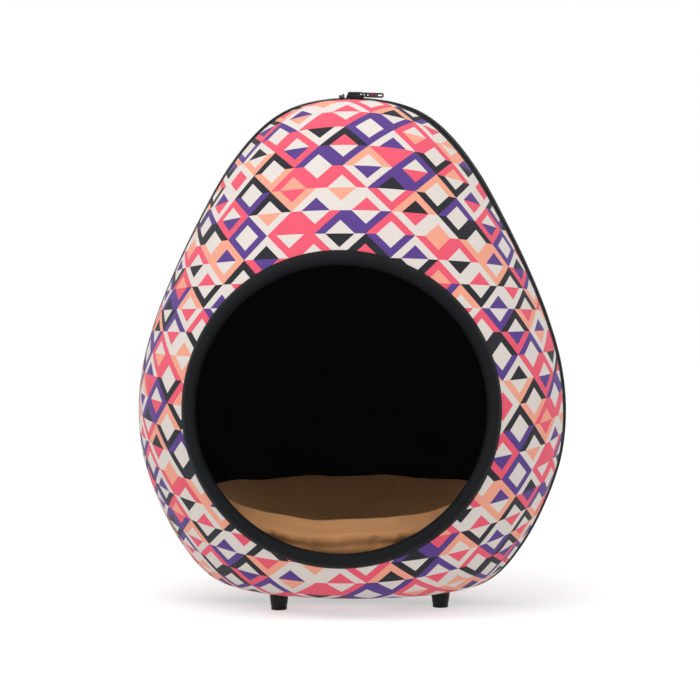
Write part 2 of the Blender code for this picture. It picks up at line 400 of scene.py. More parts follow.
class Finish:
    """A material. What is the same all over is set on its shader, and what varies is linked."""

    def __init__(self, name, constants):
        self.material = bpy.data.materials.new(name)
        self.material.use_nodes = True
        self.tree = self.material.node_tree
        self.shader = self.tree.nodes["Principled BSDF"]
        for socket, value in constants.items():
            self.shader.inputs[socket].default_value = value

    def node(self, kind, settings=None, inputs=None, output=0):
        made = self.tree.nodes.new(kind)
        for setting, value in (settings or {}).items():
            if setting == "stops":
                fill_ramp(made.color_ramp, value)
            else:
                setattr(made, setting, value)
        for socket, value in (inputs or {}).items():
            if isinstance(value, Signal):
                self.tree.links.new(value.socket, made.inputs[socket])
            else:
                made.inputs[socket].default_value = value
        return Signal(self, made.outputs[output])

    def object_place(self):
        return self.node("ShaderNodeTexCoord", output="Object")

    def parts(self, vector, axes="XYZ"):
        return [self.node("ShaderNodeSeparateXYZ", inputs={"Vector": vector}, output=axis)
                for axis in axes]

    def on_cloth(self, name):
        """Two distances on a piece's own cloth, from its UV map."""
        return self.parts(self.node("ShaderNodeUVMap", {"uv_map": name}), "XY")

    def cloud(self, scale, detail=2.0):
        """Soft noise round 0.5, scale lumps to a metre."""
        return self.node("ShaderNodeTexNoise", {},
                         {"Vector": self.object_place(), "Scale": scale, "Detail": detail})

    def mix(self, share, first, second):
        """A colour that goes from the first to the second as share goes from 0 to 1."""
        return self.node("ShaderNodeMix", {"data_type": "RGBA"},
                         {0: share, 6: first, 7: second}, output=2)

    def shade(self, colour, amount):
        """Multiply a colour by a number that varies."""
        return self.node("ShaderNodeVectorMath", {"operation": "SCALE"},
                         {"Vector": colour, "Scale": amount})

    def set(self, socket, signal):
        self.tree.links.new(signal.socket, self.shader.inputs[socket])

    def relief(self, height, distance, strength=1.0):
        """Raise the surface, in the shading alone, by height times distance."""
        raised = {"Height": height, "Distance": distance, "Strength": strength}
        self.set("Normal", self.node("ShaderNodeBump", {}, raised))


def mottled(name, scale, dark, bright, constants):
    """A finish whose colour drifts between two, scale lumps to a metre."""
    finish = Finish(name, constants)
    finish.set("Base Color", finish.mix(finish.cloud(scale), dark, bright))
    return finish


def fill_ramp(ramp, colours):
    """Give each colour an equal step of the ramp."""
    ramp.interpolation = "CONSTANT"
    while len(ramp.elements) < len(colours):
        ramp.elements.new(1.0)
    for i, colour in enumerate(colours):
        ramp.elements[i].position = i / len(colours)
        ramp.elements[i].color = colour


def dress(piece, finish):
    """Give a piece its finish and its slot, and let it ride on the cabin."""
    piece.data.materials.clear()
    piece.data.materials.append(finish.material)
    piece.data.polygons.foreach_set("material_index", [0] * len(piece.data.polygons))
    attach(piece, "root")
    print(f"{piece.name}: {triangles_of(piece)} triangles")
    return piece


def lay_cloth(piece, name, places, period=None):
    """Write two distances for each corner of a mesh into a UV map.

    Where the first distance runs round a loop, period is the loop's length, and a face across
    the join counts on past it."""
    mesh = piece.data
    uv = np.array(places, float)[[corner.vertex_index for corner in mesh.loops]]
    if period:
        firsts = [face.loop_start for face in mesh.polygons]
        start = np.repeat(uv[firsts, 0], [face.loop_total for face in mesh.polygons])
        uv[:, 0] = start + (uv[:, 0] - start + period / 2) % period - period / 2
    layer = mesh.uv_layers.new(name=name)
    layer.data.foreach_set("uv", uv.ravel())


# %% [markdown]
# ## The printed cloth
#
# The shell is wrapped in cloth with a print of small triangles in rows. The print here is a
# plain one of its own: triangles of one size stand and hang in rows, and each has a band along
# its two slanting sides and a smaller triangle in its middle. A chart of letters says in which
# of five colours: the first letter of a pair is the band, and the second is the middle. The
# nodes find the row, then the triangle, then its part, and look the colour up in a ramp.

# %% Chart of the print
ROW = 0.0262  # height of a row
BASE = 0.0500  # width of a triangle
BAND = 0.42  # how much of a triangle's height its band takes
FRAY = 0.0003  # how far the edges of the print waver
THREAD_PITCH = 0.0011
CLOTH_COLOURS = {
    "w": (0.600, 0.550, 0.510, 1),
    "c": (0.680, 0.080, 0.130, 1),
    "p": (0.720, 0.300, 0.205, 1),
    "v": (0.080, 0.036, 0.200, 1),
    "k": (0.014, 0.013, 0.019, 1),
}
STANDING = [
    "cw vk pw wv kw cp",
    "pw vw cp wc kw vw",
    "kc wv cw pv wk cw",
    "vw cw wp kw vw cc",
    "wc pk vw cw kw wv",
]
HANGING = [
    "cw wv vc kw wc pw",
    "vw cc kw wk pw cv",
    "wk vw cp pw vw cw",
    "cw vw wc kw cv wp",
    "wp cw kw wc vw pc",
]
HEM = 0.0200  # width of the plain black edge of the back half, beside the zip
HEM_BLACK = (0.004, 0.004, 0.005, 1)


def printed_cloth(name, hemmed=False):
    cloth = Finish(name, {"Specular IOR Level": 0.16, "Sheen Weight": 0.05,
                          "Sheen Roughness": 0.4})
    across, up = cloth.on_cloth("print")
    fray = (cloth.cloud(900) - 0.5) * FRAY
    row_place = (up + fray) / ROW
    row = row_place.floor()
    height = row_place.fraction()
    place = (across + fray) / BASE + (row % 2) * 0.5
    slant = 1 - height - (place.fraction() * 2 - 1).size()
    stands = slant > 0
    column = (place + (1 - stands) * 0.5).floor()
    columns = len(STANDING[0].split())
    cells = columns * len(STANDING)
    cell = ((row % len(STANDING)) * columns + column % columns + 0.5) / cells

    def looked_up(chart, letter):
        stops = [CLOTH_COLOURS[pair[letter]] for pair in " ".join(chart).split()]
        return cloth.node("ShaderNodeValToRGB", {"stops": stops}, {"Fac": cell})

    band, middle = (cloth.mix(stands, looked_up(HANGING, letter), looked_up(STANDING, letter))
                    for letter in (0, 1))
    colour = cloth.mix(slant.size() > BAND, band, middle)
    if hemmed:
        from_zip, _ = cloth.on_cloth("hem")
        colour = cloth.mix(from_zip > HEM, HEM_BLACK, colour)
    threads = across.wave(THREAD_PITCH) * up.wave(THREAD_PITCH)
    worn = 0.94 + cloth.cloud(14) * 0.08 + cloth.cloud(1300) * 0.06 + threads * 0.02
    cloth.set("Base Color", cloth.shade(colour, worn))
    cloth.set("Roughness", 0.52 + cloth.cloud(40) * 0.2)
    cloth.relief(threads + cloth.cloud(700) * 1.5, 0.00016, 0.6)
    return cloth


PRINTED = {"front": printed_cloth("printed_cloth"),
           "back": printed_cloth("printed_cloth_hemmed", hemmed=True)}
print("chart:", len(STANDING), "rows of", len(STANDING[0].split()), "triangles each way")

# %% [markdown]
# ## The two shells
#
# Each half is moulded foam between two cloths, 4.5 mm thick. The closed egg is cut along the
# zip, a little to each side of it, and the half gets its thickness inwards. The front half then
# loses the round mouth. The cloth is turned in at the zip, so its edge is rounded over: a few
# extra cuts beside the edge give the faces for that.

# %% The planes of the zip
SEAM_Y = -0.029  # where the zip's plane crosses SEAM_HEIGHT, from the axis
SEAM_HEIGHT = 0.240
SEAM_LEAN = math.radians(1.0)
SEAM_NORMAL = Vector((0, math.cos(SEAM_LEAN), math.sin(SEAM_LEAN)))
SEAM_POINT = Vector((0, AXIS_Y + SEAM_Y, SEAM_HEIGHT))
ZIP_HALF = 0.0125  # half the width of the whole zip
SHELL = 0.0045
GAP = 0.0003
LINING = 0.0010
WALL = SHELL + GAP + LINING
EDGE_CUTS = (0.0010, 0.0022, 0.0036, 0.0055)
EDGE_ROUND = 0.0050  # how far from the zip the cloth starts to turn in
EDGE_DROP = 0.0016
LUMPS = 0.0005  # unevenness of the moulded foam
LUMPS_FROM = 0.03  # the foam has its full unevenness this far from the zip
HEART = np.array([0, AXIS_Y, 0.22])  # a point well inside the egg
FLATTER = 0.6  # a way to the heart is pressed this much flatter


def behind_zip(points):
    """How far each point of an array lies behind the zip's plane."""
    return (points - np.array(SEAM_POINT)) @ np.array(SEAM_NORMAL)


def cut_at(piece, offset, keep=None):
    """Cut a skin parallel to the zip, offset behind it, and keep the front or the back."""
    only(piece)
    bpy.ops.object.mode_set(mode="EDIT")
    bpy.ops.mesh.select_all(action="SELECT")
    bpy.ops.mesh.bisect(plane_co=SEAM_POINT + offset * SEAM_NORMAL, plane_no=SEAM_NORMAL,
                        clear_inner=keep == "back", clear_outer=keep == "front")
    bpy.ops.object.mode_set(mode="OBJECT")
    return piece


def from_axis(points):
    """Radius of each point round the axis, as if level sections were circles."""
    return np.hypot(points[:, 0], (points[:, 1] - AXIS_Y) / DEPTH_RATIO)


def press_in(piece, depth):
    """Move each point by its own depth towards the inside of the egg."""
    points = points_of(piece)
    ways = HEART - points
    ways[:, 2] *= FLATTER
    ways /= np.linalg.norm(ways, axis=1)[:, None]
    move_points(piece, points + ways * depth[:, None])


def uneven(points, scale):
    """Soft noise from about -1 to 1 at each point."""
    return np.array([noise.noise(Vector(p) * scale) for p in points])


# %% Where the print lies
LEVEL_ROW = 0.305  # the row at this height runs level all round
ROW_SQUEEZE = 0.25  # how much closer the rows come at the sides than in front
LEAST_SQUEEZE = 0.6
FINE_ROWS = 6000  # steps in which the way along the outline is measured


def nearest_of(line, points):
    """For each point, which point of a line is the nearest."""
    tree = kdtree.KDTree(len(line))
    for i, place in enumerate(line):
        tree.insert(place, i)
    tree.balance()
    return np.array([tree.find(point)[1] for point in points])


def print_places(piece, facing):
    """Distance round from the middle of the panel, and along the outline from the level row."""
    points = points_of(piece)
    radius = from_axis(points)
    turn = np.arctan2(points[:, 0], facing * (points[:, 1] - AXIS_Y) / DEPTH_RATIO)
    fine = np.array(smooth_line(OUTLINE, FINE_ROWS))
    far = lengths_to(fine)
    beside = np.stack([radius, np.zeros(len(points)), points[:, 2]], axis=1)
    nearest = nearest_of(np.insert(fine, 1, 0, axis=1), beside)
    level = far[np.argmin(np.abs(fine[:, 1] - LEVEL_ROW))]
    squeeze = np.maximum(1 - ROW_SQUEEZE * (turn / (math.pi / 2)) ** 2, LEAST_SQUEEZE)
    return np.stack([turn * radius, (level - far[nearest]) / squeeze], axis=1)


# %% Half shells
MOUTH_HEIGHT = 0.2062
MOUTH_HALF = (0.1488, 0.1460)  # half width and half height, to the middle of the binding
MOUTH_EDGE = 0.0045  # the shell's edge lies this far outside the binding's middle
MOUTH_SIDES = 160
CUTTER_LENGTH = 0.40
CUTTER_END = 0.060  # the mouth's cutter stops this far ahead of the axis


def mouth_cutter():
    """A cylinder along Y with the mouth's oval section."""
    deselect_all()
    bpy.ops.mesh.primitive_cylinder_add(
        vertices=MOUTH_SIDES, radius=1, depth=CUTTER_LENGTH,
        location=(0, AXIS_Y - CUTTER_END - CUTTER_LENGTH / 2, MOUTH_HEIGHT),
        rotation=(math.radians(90), 0, 0))
    cutter = bpy.context.object
    cutter.scale = (MOUTH_HALF[0] + MOUTH_EDGE, MOUTH_HALF[1] + MOUTH_EDGE, 1)
    return settle(cutter)


def half_shell(name, side, keep, depth, thickness):
    """One half of a layer of the wall; side is -1 in front of the zip and 1 behind it."""
    shell = egg(name, depth)
    cut_at(shell, side * ZIP_HALF, keep)
    for cut in EDGE_CUTS:
        cut_at(shell, side * (ZIP_HALF + cut))
    points = points_of(shell)
    from_zip = np.abs(behind_zip(points)) - ZIP_HALF
    turned_in = EDGE_DROP * np.clip(1 - from_zip / EDGE_ROUND, 0, 1) ** 2
    lumps = LUMPS * (0.5 + 0.5 * uneven(points, 22)) * np.clip(from_zip / LUMPS_FROM, 0, 1)
    press_in(shell, turned_in + lumps)
    modify(shell, "SOLIDIFY", thickness=thickness, offset=-1, use_even_offset=True)
    if keep == "front":
        cutter = mouth_cutter()
        modify(shell, "BOOLEAN", object=cutter, operation="DIFFERENCE", solver="EXACT")
        remove(cutter)
    return smooth(shell, 50)


for name, side, keep in [("front_shell", -1, "front"), ("back_shell", 1, "back")]:
    shell = half_shell(name + "_cover", side, keep, 0.0, SHELL)
    lay_cloth(shell, "print", print_places(shell, side))
    if keep == "back":
        hem = behind_zip(points_of(shell)) - ZIP_HALF
        lay_cloth(shell, "hem", np.stack([hem, hem], axis=1))
    dress(shell, PRINTED[keep])
    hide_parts(name)

# %% [markdown]
# ## The linings
#
# Black cloth lines each half. It hardly shows, but it is what makes the inside look deep. It is
# a thin skin just inside the foam, cut like the shell, with a fine weave and almost no gloss.

# %% Linings
def lining_cloth():
    cloth = mottled("lining_cloth", 25, (0.0035, 0.0035, 0.0042, 1), (0.0075, 0.0075, 0.009, 1),
                    {"Roughness": 0.9, "Specular IOR Level": 0.25})
    cloth.relief(cloth.cloud(1500) + cloth.cloud(300) * 0.6, 0.0003, 0.5)
    return cloth


LINING_CLOTH = lining_cloth()

for keep, side in [("front", -1), ("back", 1)]:
    lining = half_shell(keep + "_lining_cloth", side, keep, SHELL + GAP, LINING)
    dress(lining, LINING_CLOTH)
    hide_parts(keep + "_lining")

# %% [markdown]
# ## The binding of the mouth
#
# A padded black strip is folded over the raw edge of the mouth and sewn through its outer lip.
# It could be a curve with a round bevel, but its section isn't round: it has a lip that lies on
# the print, a groove where the stitches pull it in, and a full roll. So the section is drawn
# once and lofted along the oval, standing square to the shell all the way round.

# %% The mouth's line
def mouth_frames(count):
    """Places round the mouth with the ways outwards in the wall, off the wall, and along."""
    middle = inset(EGG, WALL / 2)
    turn = -math.pi / 2 + 2 * math.pi * np.arange(count) / count
    x = MOUTH_HALF[0] * np.cos(turn)
    z = MOUTH_HEIGHT + MOUTH_HALF[1] * np.sin(turn)
    radius = radius_at(middle, z)
    y = AXIS_Y - DEPTH_RATIO * np.sqrt(radius ** 2 - x ** 2)
    places = np.stack([x, y, z], axis=1)
    along = np.roll(places, -1, axis=0) - np.roll(places, 1, axis=0)
    along /= np.linalg.norm(along, axis=1)[:, None]
    step = 0.002
    lean = (radius_at(middle, z + step) - radius_at(middle, z - step)) / (2 * step)
    off = np.stack([x, (y - AXIS_Y) / DEPTH_RATIO ** 2, -lean * radius], axis=1)
    off -= along * (off * along).sum(axis=1)[:, None]
    off /= np.linalg.norm(off, axis=1)[:, None]
    outwards = np.cross(along, off)
    return places, outwards, off, along


def lengths_along(places):
    """The distance to each point of a closed line, and the whole length."""
    steps = np.linalg.norm(np.roll(places, -1, axis=0) - places, axis=1)
    return np.concatenate([[0], steps.cumsum()[:-1]]), steps.sum()


# %% Lofting a section round a closed line
def loft_ring(name, rings):
    """A closed tube through an array of closed rings, shaped (rings, corners, 3)."""
    count, corners = rings.shape[:2]
    faces = []
    for i in range(count):
        ahead = (i + 1) % count
        for j in range(corners):
            beside = (j + 1) % corners
            faces.append((i * corners + j, ahead * corners + j,
                          ahead * corners + beside, i * corners + beside))
    tube = only(meshed(name, rings.reshape(-1, 3), faces))
    bpy.ops.object.mode_set(mode="EDIT")
    bpy.ops.mesh.select_all(action="SELECT")
    bpy.ops.mesh.normals_make_consistent(inside=False)
    bpy.ops.object.mode_set(mode="OBJECT")
    return tube


# %% Binding
# The section in millimetres: outwards in the wall, then off the wall.
BINDING_SECTION = [
    (7.5, 3.0), (7.8, 3.5), (7.3, 4.0), (6.5, 3.9), (5.9, 4.1), (5.2, 4.9), (3.9, 5.9),
    (2.0, 6.6), (-0.4, 6.7), (-2.8, 6.0), (-4.8, 4.6), (-6.2, 2.5), (-6.6, 0.0), (-6.2, -2.5),
    (-4.8, -4.6), (-2.6, -6.0), (0.0, -6.5), (2.6, -6.0), (4.9, -4.9), (6.3, -3.7), (6.4, -2.6),
    (4.9, -1.0), (4.9, 1.6), (6.3, 2.7),
]
BINDING_RINGS = 540
STITCH_PITCH = 0.0052
GROOVE = (3, 4)  # the corners of the section that the stitches pull in


def binding_piece():
    places, outwards, off, along = mouth_frames(BINDING_RINGS)
    far, whole = lengths_along(places)
    stitches = round(whole / STITCH_PITCH)
    section = np.array(BINDING_SECTION) / 1000
    rings = (places[:, None] + outwards[:, None] * section[None, :, :1]
             + off[:, None] * section[None, :, 1:])
    pulled = 0.5 + 0.5 * np.cos(2 * math.pi * stitches * far / whole)
    for corner in GROOVE:
        rings[:, corner] -= off * (0.0005 * pulled)[:, None]
    for corner in range(5, 13):
        full = 0.00035 * uneven(rings[:, corner], 45) - 0.00015 * pulled * (corner < 8)
        rings[:, corner] += off * full[:, None]
    tube = loft_ring("mouth_binding_roll", rings)
    aside, _ = lengths_along(section)
    lay = np.stack(np.broadcast_arrays(far[:, None], aside[None, :]), axis=2).reshape(-1, 2)
    lay_cloth(tube, "weave", lay, whole)
    modify(tube, "SUBSURF", levels=1, render_levels=1)
    return smooth(tube, 60), (places, outwards, off, along, stitches)


def binding_cloth():
    cloth = Finish("binding_cloth", {"Specular IOR Level": 0.12})
    far, aside = cloth.on_cloth("weave")
    ribs = (far + aside * 0.35).wave(0.0021)
    threads = aside.wave(0.0011)
    blotch = cloth.cloud(55)
    black = cloth.mix(blotch, (0.0014, 0.0019, 0.0026, 1), (0.0042, 0.0054, 0.0070, 1))
    cloth.set("Base Color", cloth.shade(black, 1 + ribs * 0.25 + cloth.cloud(900) * 0.4))
    cloth.set("Roughness", 0.42 + blotch * 0.2)
    cloth.relief(ribs + threads * 0.5 + cloth.cloud(800), 0.00022, 0.7)
    return cloth


binding, mouth_line = binding_piece()
dress(binding, binding_cloth())
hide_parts("mouth_binding")

# %% [markdown]
# ## Stitches
#
# The binding is sewn down with black thread. One stitch is a short rounded bar. It is modelled
# once, and its copies are laid in the groove, each turned along the seam. A shape that is
# repeated hundreds of times is kept to a few dozen faces.

# %% Copies along a line
def bar(name, length, width, height, sides=8):
    """A rod along X with rounded ends, flattened to a width and a height."""
    deselect_all()
    bpy.ops.mesh.primitive_cylinder_add(vertices=sides, radius=0.5, depth=0.72,
                                        rotation=(0, math.radians(90), 0))
    rod = bpy.context.object
    rod.name = name
    settle(rod)
    select_where(rod, "FACE", lambda face: abs(face.normal.x) > 0.9)
    bpy.ops.mesh.extrude_region_move()
    bpy.ops.transform.resize(value=(1.39, 0.55, 0.55))
    bpy.ops.object.mode_set(mode="OBJECT")
    rod.scale = (length, width, height)
    return settle(rod)


def copies(name, pattern, frames):
    """One mesh of a pattern's copies, one for each frame (place, along, aside, up)."""
    corners = points_of(pattern)
    faces = [tuple(face.vertices) for face in pattern.data.polygons]
    placed = []
    joined = []
    for place, along, aside, up in frames:
        start = len(placed) * len(corners)
        placed.append(corners @ np.array([along, aside, up]) + place)
        joined += [tuple(start + corner for corner in face) for face in faces]
    remove(pattern)
    return smooth(meshed(name, np.concatenate(placed), joined), 60)


# %% Stitches of the binding
def thread():
    yarn = mottled("black_thread", 2500, (0.010, 0.011, 0.013, 1), (0.034, 0.036, 0.042, 1),
                   {"Roughness": 0.5, "Specular IOR Level": 0.3})
    yarn.relief(yarn.cloud(3500), 0.0002, 0.6)
    return yarn


STITCH_SIZE = (0.0034, 0.0007, 0.0006)
STITCH_SEAT = (0.0062, 0.0040)  # outwards in the wall, and off it


def binding_stitches():
    places, outwards, off, along, count = mouth_line
    at = ((np.arange(count) + 0.5) / count * len(places)).astype(int) % len(places)
    seat = places + outwards * STITCH_SEAT[0] + off * STITCH_SEAT[1]
    frames = [(seat[i], along[i], outwards[i], off[i]) for i in at]
    return copies("mouth_binding_stitches", bar("stitch", *STITCH_SIZE), frames)


dress(binding_stitches(), thread())

# %% [markdown]
# ## The zip
#
# A coil zip joins the halves. Its two tapes are narrow woven strips a little below the print,
# and the coil between them is a nylon thread wound into teeth. The tapes are slices of the egg.
# The teeth are one small hook, copied along the line in which the egg meets the zip's plane, by
# turns from the left and from the right.

# %% Tapes
CHAIN_HALF = 0.0030
TAPE_SINK = 0.0006
CORE_SINK = 0.0002
TAPE = 0.0016


def zip_cloth():
    cloth = Finish("zip_cloth", {"Roughness": 0.6, "Specular IOR Level": 0.08})
    far, aside = cloth.on_cloth("tape")
    herring = (far + (aside / 0.0022).math("PINGPONG", 1.0) * 0.0016).wave(0.0012)
    black = cloth.mix(cloth.cloud(120), (0.0022, 0.0022, 0.0028, 1), (0.0050, 0.0050, 0.0060, 1))
    cloth.set("Base Color", cloth.shade(black, 1 + herring * 0.25))
    cloth.relief(herring + cloth.cloud(1200) * 0.7, 0.0002, 0.6)
    return cloth


def seam_loop(depth):
    """Points round the line where a layer of the egg meets the zip's plane."""
    skin = cut_at(egg("seam", depth), 0, "back")
    points = points_of(skin)
    uses = Counter(key for face in skin.data.polygons for key in face.edge_keys)
    beside = {}
    for here, there in (key for key, faces in uses.items() if faces == 1):
        beside.setdefault(here, []).append(there)
        beside.setdefault(there, []).append(here)
    rim = np.array(sorted(beside))
    first = int(rim[np.argmin(points[rim, 2] + np.abs(points[rim, 0]))])
    order = [first, beside[first][0]]
    while order[-1] != first:
        order.append(next(n for n in beside[order[-1]] if n != order[-2]))
    remove(skin)
    return points[order[:-1]]


def evenly(points, count):
    """Evenly spaced points on a closed line."""
    far, whole = lengths_along(points)
    closed = np.vstack([points, points[:1]])
    far = np.append(far, whole)
    wanted = np.arange(count) * whole / count
    return np.stack([np.interp(wanted, far, closed[:, i]) for i in range(3)], axis=1), whole


SEAM, SEAM_LENGTH = evenly(seam_loop(0.0), 3000)


def tape_places(piece):
    """Distance along the zip and aside from its middle, for each corner."""
    points = points_of(piece)
    far = nearest_of(SEAM, points) * SEAM_LENGTH / len(SEAM)
    return np.stack([far, behind_zip(points)], axis=1)


ZIP_CLOTH = zip_cloth()


def strip(name, depth, near, away):
    """A slice of the egg's skin beside the zip, in the zip's cloth."""
    piece = egg(name, depth)
    cut_at(piece, near, "back")
    cut_at(piece, away, "front")
    modify(piece, "SOLIDIFY", thickness=TAPE, offset=-1, use_even_offset=True)
    lay_cloth(piece, "tape", tape_places(piece), SEAM_LENGTH)
    return dress(smooth(piece, 50), ZIP_CLOTH)


for name, near, away in [("zip_tape_front", -ZIP_HALF, -CHAIN_HALF),
                         ("zip_tape_back", CHAIN_HALF, ZIP_HALF)]:
    tape = strip(name + "_cloth", TAPE_SINK, near, away)
    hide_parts(name)
print("zip:", round(SEAM_LENGTH, 3), "m round")

# %% Coil
TOOTH_PITCH = 0.00126  # from one tooth to the next, which comes from the other side
CHAIN_RISE = 0.0009
TOOTH_SIZE = (0.0040, 0.0010, 0.0012)
TOOTH_SINK = 0.0006  # how much lower the teeth lie than the chain's top
TOOTH_ASIDE = 0.0009
TOOTH_SLANT = 0.12
BEND_FROM = 0.0012  # a tooth bends down from here, over BEND_LENGTH, by BEND_DROP
BEND_LENGTH = 0.0018
BEND_DROP = 0.0016


def hook():
    """One tooth: a bar across the zip, bent down at its outer end."""
    tooth = bar("tooth", *TOOTH_SIZE, sides=6)
    tooth.rotation_euler.z = math.radians(90)
    tooth.location = (0, TOOTH_ASIDE, 0)
    settle(tooth)
    points = points_of(tooth)
    outer = np.clip((points[:, 1] - BEND_FROM) / BEND_LENGTH, 0, 1)
    points[:, 2] -= BEND_DROP * outer ** 1.5
    points[:, 0] += points[:, 1] * TOOTH_SLANT
    move_points(tooth, points)
    return tooth


def nylon():
    plastic = mottled("zip_nylon", 400, (0.004, 0.004, 0.005, 1), (0.009, 0.009, 0.011, 1),
                      {"Roughness": 0.38, "Specular IOR Level": 0.18})
    plastic.relief(plastic.cloud(2500), 0.0001, 0.5)
    return plastic


def coil():
    count = 2 * round(SEAM_LENGTH / TOOTH_PITCH / 2)
    line, _ = evenly(SEAM, count)
    along = np.roll(line, -1, axis=0) - np.roll(line, 1, axis=0)
    along /= np.linalg.norm(along, axis=1)[:, None]
    back = np.array(SEAM_NORMAL)
    up = np.cross(along, back)
    up *= np.sign((up * (line - HEART)).sum(axis=1))[:, None]
    line += up * (CHAIN_RISE - TOOTH_SINK)
    frames = []
    for i in range(count):
        side = 1 if i % 2 else -1
        frames.append((line[i], along[i] * side, back * side, up[i]))
    return copies("zip_coil", hook(), frames)


chain = dress(coil(), nylon())
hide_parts("zip_chain")
strip("zip_coil_core", CORE_SINK, -CHAIN_HALF + GAP, CHAIN_HALF - GAP)

# %% [markdown]
# ## Slider, pull and stop
#
# The zip closes at the crown. Its slider is a cast body with a bridge on top, a small ring hangs
# in the bridge, and the pull is a flat frame with a round hole, a red enamel inlay and a slot.
# Each is a cube or a torus that is bevelled, tapered and cut, first at the origin with X along
# the zip and Z off the cloth, and then carried to its seat on the crown.

# %% Seat on the crown
def crown_seat(x):
    """Frame on the coil over the crown: Z is the cloth's normal and X runs along the zip."""
    upper = [p for p in inset(EGG, -CHAIN_RISE) if p.y > MOUTH_HEIGHT]
    radii = [p.x for p in upper]
    heights = [p.y for p in upper]

    def on_coil(along, aside):
        z = OUTLINE[0].height
        for _ in range(12):
            y = SEAM_Y - (z - SEAM_HEIGHT) * math.tan(SEAM_LEAN) + aside
            z = float(np.interp(math.hypot(along, y / DEPTH_RATIO), radii, heights))
        return Vector((along, AXIS_Y + y, z))

    step = 0.0035
    along = (on_coil(x + step, 0) - on_coil(x - step, 0)).normalized()
    up = along.cross(on_coil(x, step) - on_coil(x, -step)).normalized()
    turn = Matrix((along, up.cross(along), up)).transposed().to_4x4()
    return Matrix.Translation(on_coil(x, 0)) @ turn


def at_seat(piece, seat):
    """Carry a piece that was made at the origin to a frame."""
    piece.matrix_world = seat
    return settle(piece)


# %% Blocks with soft edges
def block(name, size, place, soft=0.0, segments=2):
    """A box with bevelled edges."""
    deselect_all()
    bpy.ops.mesh.primitive_cube_add(size=1, location=place)
    box = bpy.context.object
    box.name = name
    box.scale = size
    settle(box)
    if soft:
        modify(box, "BEVEL", width=soft, segments=segments)
    return box


def carve(piece, cutter):
    modify(piece, "BOOLEAN", object=cutter, operation="DIFFERENCE", solver="EXACT")
    remove(cutter)
    return piece


def join(name, *pieces):
    """Join pieces into the first one."""
    only(pieces[0])
    for other in pieces[1:]:
        other.select_set(True)
    bpy.ops.object.join()
    pieces[0].name = name
    return pieces[0]


# %% Metal
def zip_metal(name, dark, bright, constants):
    metal = mottled(name, 900, dark, bright, constants)
    metal.set("Roughness", 0.22 + metal.cloud(1400) * 0.3)
    metal.relief(metal.cloud(2600), 0.00008, 0.6)
    return metal


METAL = zip_metal("zip_metal", (0.004, 0.005, 0.005, 1), (0.014, 0.017, 0.017, 1),
                  {"Metallic": 0.4, "Specular IOR Level": 0.3})
PALE_METAL = zip_metal("stop_metal", (0.030, 0.032, 0.032, 1), (0.110, 0.115, 0.115, 1),
                       {"Metallic": 0.5})
ENAMEL = zip_metal("red_enamel", (0.070, 0.006, 0.009, 1), (0.115, 0.013, 0.016, 1),
                   {"Specular IOR Level": 0.2})

# %% Slider
SLIDER_X = 0.0060
SLIDER_SIZE = Vector((0.0170, 0.0110, 0.0046))
LIFT = GAP + SLIDER_SIZE.z / 2
NOSE = 0.0012  # how much further the plate reaches to the front
NOSE_WIDTH = 0.62  # width of the front over that of the back
RAIL_Y = 0.0043


def slider():
    plate = block("plate", size=(SLIDER_SIZE.x + NOSE, SLIDER_SIZE.y, 0.0034),
                  place=(-NOSE / 2, 0, 0.0008))
    select_where(plate, "FACE", lambda face: face.normal.x < -0.9)
    bpy.ops.transform.resize(value=(1, NOSE_WIDTH, 1))
    bpy.ops.object.mode_set(mode="OBJECT")
    modify(plate, "BEVEL", width=0.0009, segments=3)
    bridge = block("bridge", size=(0.0160, 0.0050, 0.0046), place=(-0.0007, 0, 0.0034),
                   soft=0.0021, segments=5)
    carve(bridge, block("tunnel", size=(0.0020, 0.0080, 0.0009), place=(0.0053, 0, 0.0032),
                        soft=0.0003))
    rails = [block("rail", size=(0.0128, 0.0020, 0.0022), place=(0.0014, y, -0.0006), soft=0.0006)
             for y in (-RAIL_Y, RAIL_Y)]
    return smooth(join("zip_slider_body", plate, bridge, *rails), 35)


seat = crown_seat(SLIDER_X)
body = dress(at_seat(slider(), seat), METAL)
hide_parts("zip_slider")

# %% Pull
PULL_SIZE = Vector((0.0200, 0.0076, 0.0009))
PULL_DROOP = math.radians(1)
PULL_ROLL = math.radians(36)
PULL_HOLE = (0.0027, 0.0017)  # place along the pull, and radius
PULL_SLOT = (0.0161, 0.0048, 0.0034)  # place along the pull, length, width
INLAY = (0.0091, 0.0078, 0.0046)  # the same for the inlay's bed
INLAY_PLAY = 0.0003  # how much smaller the inlay is than its bed


def rounded_plate(name, length, width, thickness, place, corner):
    """A flat plate whose upright edges are rounded."""
    plate = block(name, (length, width, thickness), place)

    def upright(edge):
        a, b = (plate.data.vertices[i].co for i in edge.vertices)
        return abs(a.z - b.z) > thickness / 2

    select_where(plate, "EDGE", upright)
    bpy.ops.mesh.bevel(offset=corner, segments=6, affect="EDGES")
    bpy.ops.object.mode_set(mode="OBJECT")
    return plate


